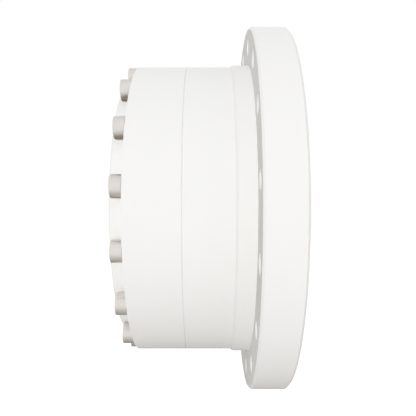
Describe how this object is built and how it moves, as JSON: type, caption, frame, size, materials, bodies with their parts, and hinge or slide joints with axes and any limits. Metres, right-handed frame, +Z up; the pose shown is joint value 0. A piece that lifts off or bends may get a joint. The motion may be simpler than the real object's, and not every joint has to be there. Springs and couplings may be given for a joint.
{
  "type": "strain wave gearbox",
  "caption": "Strain wave gearbox: flanged round housing with a ring of screws, an oval wave generator inside a thin toothed cup, and a cross-roller output flange.",
  "frame": {"origin": "centre of the flange's mounting face, on the gear axis", "axes": "+X along the gear axis out of the output end, +Z up, so the picture looks along +Y"},
  "size_m": [0.0849, 0.19, 0.19],
  "materials": {
    "pale_housing": "satin pale coating",
    "screw_steel": "plain steel",
    "ground_steel": "ground and turned",
    "gear_steel": "machined, lightly oiled",
    "bearing_steel": "polished",
    "cam_steel": "turned",
    "cage_resin": "moulded",
    "seal_rubber": "moulded",
    "bronze": "turned",
    "spring_steel": "blackened"
  },
  "bodies": {
    "housing": {"bearing_housing": "pale_housing", "circular_spline": "pale_housing", "assembly_screws": "screw_steel", "housing_o_ring": "seal_rubber", "output_seal": "seal_rubber"},
    "output": {"output_flange": "ground_steel", "inner_race_ring": "ground_steel", "race_ring_screws": "screw_steel", "flexspline": "gear_steel", "flexspline_clamp_ring": "ground_steel", "flexspline_screws": "screw_steel"},
    "roller_set": {"cross_rollers": "bearing_steel"},
    "wave_generator": {"wave_generator_plug": "cam_steel", "wave_bearing_inner_race": "bearing_steel", "wave_bearing_outer_race": "bearing_steel", "wave_bearing_balls": "bearing_steel", "wave_bearing_cage": "cage_resin", "oldham_insert": "bronze", "input_hub": "ground_steel", "hub_set_screws": "spring_steel", "rub_washer": "bronze", "snap_ring": "spring_steel"}
  },
  "joints": [
    {"name": "output_spin", "type": "hinge", "parent": "housing", "child": "output", "pos_m": [0, 0, 0], "axis": [1, 0, 0], "continuous": true},
    {"name": "input_spin", "type": "hinge", "parent": "output", "child": "wave_generator", "pos_m": [0, 0, 0], "axis": [1, 0, 0], "continuous": true, "deforming": ["flexspline"]},
    {"name": "roller_orbit", "type": "hinge", "parent": "housing", "child": "roller_set", "pos_m": [0, 0, 0], "axis": [1, 0, 0], "continuous": true}
  ],
  "couplings": [
    {"joint": "output_spin", "follows": "input_spin", "ratio": -0.019608},
    {"joint": "roller_orbit", "follows": "input_spin", "ratio": -0.009185}
  ]
}
